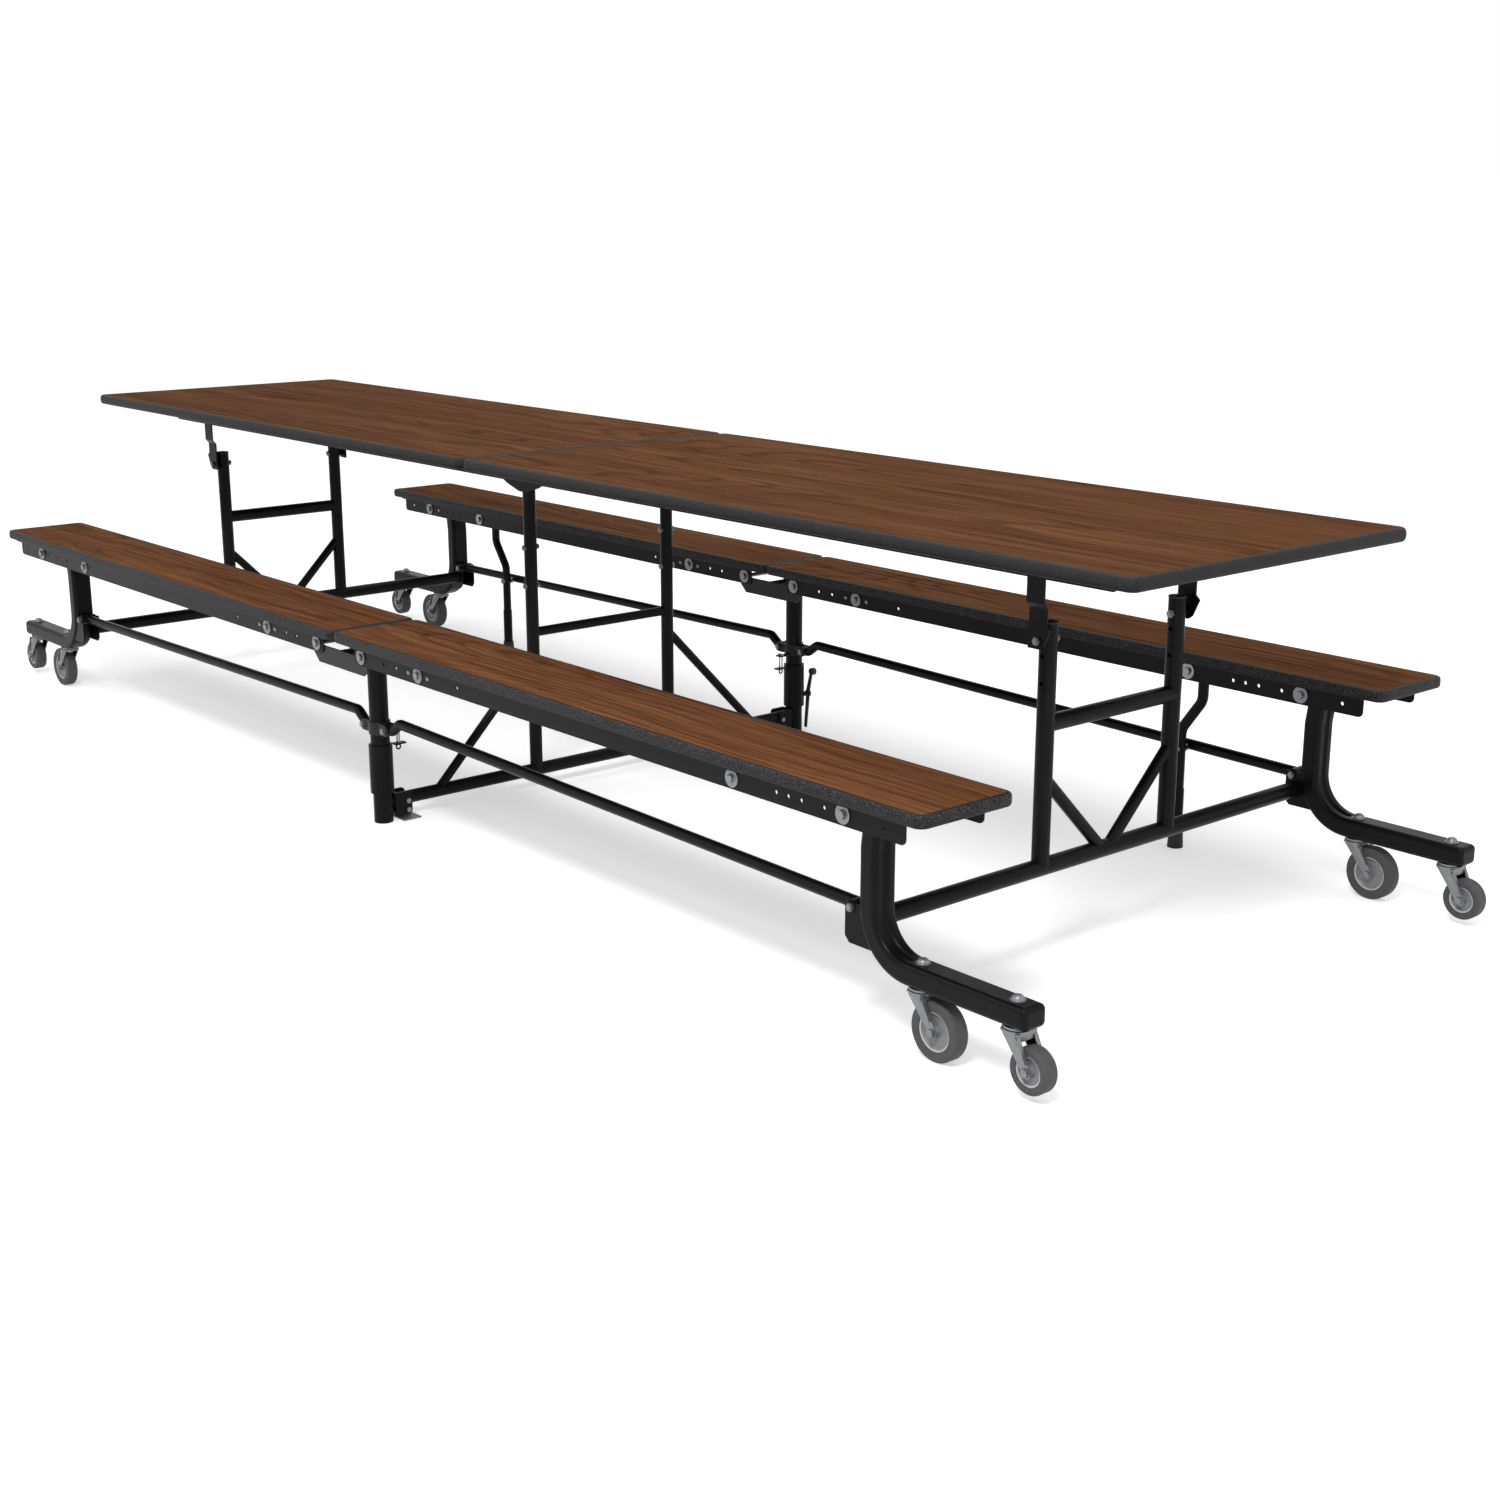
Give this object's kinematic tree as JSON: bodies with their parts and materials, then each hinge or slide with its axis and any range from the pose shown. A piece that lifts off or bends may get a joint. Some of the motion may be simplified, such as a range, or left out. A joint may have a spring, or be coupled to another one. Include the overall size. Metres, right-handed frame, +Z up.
{
  "type": "folding cafeteria table with benches",
  "caption": "Long folding dining table with a fixed bench on each side, on two caster-footed end frames and a centre frame that rises as the halves fold up.",
  "frame": {"origin": "on the floor under the middle of the table, at the bottom centre of the part's box", "axes": "+X along the length, +Y across the width, +Z up"},
  "size_m": [3.806, 1.397, 0.762],
  "materials": {
    "laminate": "satin wood-grain high pressure laminate",
    "edge_band": "black pebbled edge band with light flecks",
    "frame_paint": "satin black powder coat",
    "zinc": "bright zinc plate",
    "grey_steel": "dull grey plated steel",
    "grey_tyre": "grey non-marking rubber on a light grey hub",
    "boot_rubber": "matt black rubber"
  },
  "bodies": {
    "end_left": {"end_frame_L": "frame_paint", "end_legs_L": "frame_paint", "end_straps_L": "frame_paint", "end_fasteners_L": "zinc"},
    "table_left": {"top_board_L": "laminate", "top_edge_L": "edge_band", "top_rails_L": "frame_paint"},
    "bench_FL": {"seat_board_FL": "laminate", "seat_edge_FL": "edge_band", "seat_rails_FL": "frame_paint"},
    "link_FL": {"rod_FL": "frame_paint"},
    "bench_BL": {"seat_board_BL": "laminate", "seat_edge_BL": "edge_band", "seat_rails_BL": "frame_paint"},
    "link_BL": {"rod_BL": "frame_paint"},
    "prop_L": {"drop_leg_L": "frame_paint", "drop_boot_L": "boot_rubber"},
    "end_right": {"end_frame_R": "frame_paint", "end_legs_R": "frame_paint", "end_straps_R": "frame_paint", "end_fasteners_R": "zinc"},
    "table_right": {"top_board_R": "laminate", "top_edge_R": "edge_band", "top_rails_R": "frame_paint"},
    "bench_FR": {"seat_board_FR": "laminate", "seat_edge_FR": "edge_band", "seat_rails_FR": "frame_paint"},
    "link_FR": {"rod_FR": "frame_paint"},
    "bench_BR": {"seat_board_BR": "laminate", "seat_edge_BR": "edge_band", "seat_rails_BR": "frame_paint"},
    "link_BR": {"rod_BR": "frame_paint"},
    "prop_R": {"drop_leg_R": "frame_paint", "drop_boot_R": "boot_rubber"},
    "centre": {"centre_frame": "frame_paint", "centre_legs": "frame_paint", "leg_sleeves": "frame_paint", "bench_hinges": "grey_steel", "rod_clamps": "grey_steel", "centre_fasteners": "zinc", "floor_glides": "zinc"},
    "lever": {"latch_lever": "zinc"},
    "pull_F": {"pull_pin_F": "zinc"},
    "pull_B": {"pull_pin_B": "zinc"},
    "swivel_FL_in": {"fork_FL_in": "zinc"},
    "roll_FL_in": {"wheel_FL_in": "grey_tyre"},
    "swivel_FL_out": {"fork_FL_out": "zinc"},
    "roll_FL_out": {"wheel_FL_out": "grey_tyre"},
    "swivel_BL_in": {"fork_BL_in": "zinc"},
    "roll_BL_in": {"wheel_BL_in": "grey_tyre"},
    "swivel_BL_out": {"fork_BL_out": "zinc"},
    "roll_BL_out": {"wheel_BL_out": "grey_tyre"},
    "swivel_FR_in": {"fork_FR_in": "zinc"},
    "roll_FR_in": {"wheel_FR_in": "grey_tyre"},
    "swivel_FR_out": {"fork_FR_out": "zinc"},
    "roll_FR_out": {"wheel_FR_out": "grey_tyre"},
    "swivel_BR_in": {"fork_BR_in": "zinc"},
    "roll_BR_in": {"wheel_BR_in": "grey_tyre"},
    "swivel_BR_out": {"fork_BR_out": "zinc"},
    "roll_BR_out": {"wheel_BR_out": "grey_tyre"}
  },
  "joints": [
    {"name": "fold", "type": "hinge", "parent": "end_left", "child": "table_left", "pos_m": [-1.5, 0, 0.716], "axis": [0, -1, 0], "range_deg": [0, 88]},
    {"name": "centre_rise", "type": "hinge", "parent": "table_left", "child": "centre", "pos_m": [-0.054, 0, 0.716], "axis": [0, -1, 0], "range_deg": [-88, 0]},
    {"name": "table_right_fold", "type": "hinge", "parent": "centre", "child": "table_right", "pos_m": [0.054, 0, 0.716], "axis": [0, -1, 0], "range_deg": [-88, 0]},
    {"name": "end_right_level", "type": "hinge", "parent": "table_right", "child": "end_right", "pos_m": [1.5, 0, 0.716], "axis": [0, -1, 0], "range_deg": [0, 88]},
    {"name": "bench_FL_fold", "type": "hinge", "parent": "end_left", "child": "bench_FL", "pos_m": [-1.537, -0.594, 0.3906], "axis": [0, -1, 0], "range_deg": [0, 88]},
    {"name": "rod_FL_swing", "type": "hinge", "parent": "end_left", "child": "link_FL", "pos_m": [-1.488, -0.592, 0.2106], "axis": [0, -1, 0], "range_deg": [0, 88]},
    {"name": "bench_FR_fold", "type": "hinge", "parent": "centre", "child": "bench_FR", "pos_m": [0.091, -0.594, 0.3906], "axis": [0, -1, 0], "range_deg": [-88, 0]},
    {"name": "rod_FR_swing", "type": "hinge", "parent": "centre", "child": "link_FR", "pos_m": [0.042, -0.592, 0.2106], "axis": [0, -1, 0], "range_deg": [-88, 0]},
    {"name": "bench_BL_fold", "type": "hinge", "parent": "end_left", "child": "bench_BL", "pos_m": [-1.537, 0.594, 0.3906], "axis": [0, -1, 0], "range_deg": [0, 88]},
    {"name": "rod_BL_swing", "type": "hinge", "parent": "end_left", "child": "link_BL", "pos_m": [-1.488, 0.592, 0.2106], "axis": [0, -1, 0], "range_deg": [0, 88]},
    {"name": "bench_BR_fold", "type": "hinge", "parent": "centre", "child": "bench_BR", "pos_m": [0.091, 0.594, 0.3906], "axis": [0, -1, 0], "range_deg": [-88, 0]},
    {"name": "rod_BR_swing", "type": "hinge", "parent": "centre", "child": "link_BR", "pos_m": [0.042, 0.592, 0.2106], "axis": [0, -1, 0], "range_deg": [-88, 0]},
    {"name": "prop_L_level", "type": "hinge", "parent": "bench_BL", "child": "prop_L", "pos_m": [-1.271, 0.562, 0.3906], "axis": [0, -1, 0], "range_deg": [-88, 0]},
    {"name": "prop_R_level", "type": "hinge", "parent": "bench_BR", "child": "prop_R", "pos_m": [1.271, 0.562, 0.3906], "axis": [0, -1, 0], "range_deg": [0, 88]},
    {"name": "swivel_FL_in_turn", "type": "hinge", "parent": "end_left", "child": "swivel_FL_in", "pos_m": [-1.63, -0.592, 0.113], "axis": [0, 0, 1], "continuous": true},
    {"name": "wheel_FL_in_spin", "type": "hinge", "parent": "swivel_FL_in", "child": "roll_FL_in", "pos_m": [-1.669, -0.592, 0.051], "axis": [0, 1, 0], "continuous": true},
    {"name": "swivel_FL_out_turn", "type": "hinge", "parent": "end_left", "child": "swivel_FL_out", "pos_m": [-1.829, -0.592, 0.113], "axis": [0, 0, 1], "continuous": true},
    {"name": "wheel_FL_out_spin", "type": "hinge", "parent": "swivel_FL_out", "child": "roll_FL_out", "pos_m": [-1.865, -0.592, 0.05], "axis": [0, 1, 0], "continuous": true},
    {"name": "swivel_BL_in_turn", "type": "hinge", "parent": "end_left", "child": "swivel_BL_in", "pos_m": [-1.63, 0.592, 0.113], "axis": [0, 0, 1], "continuous": true},
    {"name": "wheel_BL_in_spin", "type": "hinge", "parent": "swivel_BL_in", "child": "roll_BL_in", "pos_m": [-1.669, 0.592, 0.051], "axis": [0, 1, 0], "continuous": true},
    {"name": "swivel_BL_out_turn", "type": "hinge", "parent": "end_left", "child": "swivel_BL_out", "pos_m": [-1.829, 0.592, 0.113], "axis": [0, 0, 1], "continuous": true},
    {"name": "wheel_BL_out_spin", "type": "hinge", "parent": "swivel_BL_out", "child": "roll_BL_out", "pos_m": [-1.865, 0.592, 0.05], "axis": [0, 1, 0], "continuous": true},
    {"name": "swivel_FR_in_turn", "type": "hinge", "parent": "end_right", "child": "swivel_FR_in", "pos_m": [1.63, -0.592, 0.113], "axis": [0, 0, 1], "continuous": true},
    {"name": "wheel_FR_in_spin", "type": "hinge", "parent": "swivel_FR_in", "child": "roll_FR_in", "pos_m": [1.669, -0.592, 0.051], "axis": [0, 1, 0], "continuous": true},
    {"name": "swivel_FR_out_turn", "type": "hinge", "parent": "end_right", "child": "swivel_FR_out", "pos_m": [1.829, -0.592, 0.113], "axis": [0, 0, 1], "continuous": true},
    {"name": "wheel_FR_out_spin", "type": "hinge", "parent": "swivel_FR_out", "child": "roll_FR_out", "pos_m": [1.865, -0.592, 0.05], "axis": [0, 1, 0], "continuous": true},
    {"name": "swivel_BR_in_turn", "type": "hinge", "parent": "end_right", "child": "swivel_BR_in", "pos_m": [1.63, 0.592, 0.113], "axis": [0, 0, 1], "continuous": true},
    {"name": "wheel_BR_in_spin", "type": "hinge", "parent": "swivel_BR_in", "child": "roll_BR_in", "pos_m": [1.669, 0.592, 0.051], "axis": [0, 1, 0], "continuous": true},
    {"name": "swivel_BR_out_turn", "type": "hinge", "parent": "end_right", "child": "swivel_BR_out", "pos_m": [1.829, 0.592, 0.113], "axis": [0, 0, 1], "continuous": true},
    {"name": "wheel_BR_out_spin", "type": "hinge", "parent": "swivel_BR_out", "child": "roll_BR_out", "pos_m": [1.865, 0.592, 0.05], "axis": [0, 1, 0], "continuous": true},
    {"name": "latch_lever_turn", "type": "hinge", "parent": "centre", "child": "lever", "pos_m": [0.018, 0.623, 0.095], "axis": [0, -1, 0], "range_deg": [-35, 0]},
    {"name": "pull_pin_F_slide", "type": "slide", "parent": "centre", "child": "pull_F", "axis": [0, 0, 1], "range_m": [0, 0.01]},
    {"name": "pull_pin_B_slide", "type": "slide", "parent": "centre", "child": "pull_B", "axis": [0, 0, 1], "range_m": [0, 0.01]}
  ],
  "couplings": [
    {"joint": "centre_rise", "follows": "fold", "ratio": -1},
    {"joint": "table_right_fold", "follows": "fold", "ratio": -1},
    {"joint": "end_right_level", "follows": "fold", "ratio": 1},
    {"joint": "bench_FL_fold", "follows": "fold", "ratio": 1},
    {"joint": "rod_FL_swing", "follows": "fold", "ratio": 1},
    {"joint": "bench_FR_fold", "follows": "fold", "ratio": -1},
    {"joint": "rod_FR_swing", "follows": "fold", "ratio": -1},
    {"joint": "bench_BL_fold", "follows": "fold", "ratio": 1},
    {"joint": "rod_BL_swing", "follows": "fold", "ratio": 1},
    {"joint": "bench_BR_fold", "follows": "fold", "ratio": -1},
    {"joint": "rod_BR_swing", "follows": "fold", "ratio": -1},
    {"joint": "prop_L_level", "follows": "fold", "ratio": -1},
    {"joint": "prop_R_level", "follows": "fold", "ratio": 1}
  ]
}
